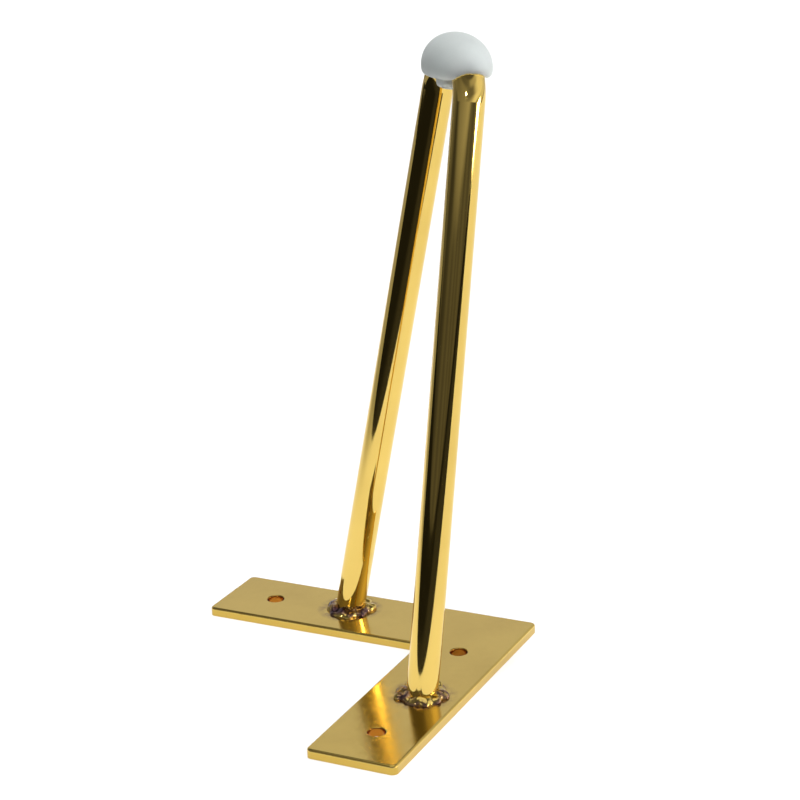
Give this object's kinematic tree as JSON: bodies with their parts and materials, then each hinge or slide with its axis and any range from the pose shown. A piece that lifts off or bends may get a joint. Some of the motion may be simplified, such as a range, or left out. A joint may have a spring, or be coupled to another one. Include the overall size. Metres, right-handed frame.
{
  "type": "metal sofa leg",
  "caption": "Hairpin sofa leg: a round bar bent to a narrow U and welded to an L-shaped screw plate, with a soft foot cap over the bend; screws under a sofa or cabinet corner.",
  "frame": {"origin": "on the mounting face, where the centre lines of the plate's arms cross", "axes": "+Z from the mounting face towards the foot, +X along the plate's diagonal towards its outer corner, +Y towards the arm without the corner screw hole"},
  "size_m": [0.0973, 0.1538, 0.2024],
  "materials": {
    "plate_gold": "polished gold-tone plating on steel",
    "rod_gold": "polished gold-tone plating on steel",
    "weld_gold": "plated weld metal with dark heat tint",
    "cap_rubber": "satin pale grey moulding"
  },
  "bodies": {
    "root": {"mounting_plate": "plate_gold", "hairpin_rod": "rod_gold", "weld_bead_far": "weld_gold", "weld_bead_near": "weld_gold", "foot_cap": "cap_rubber"}
  },
  "joints": []
}
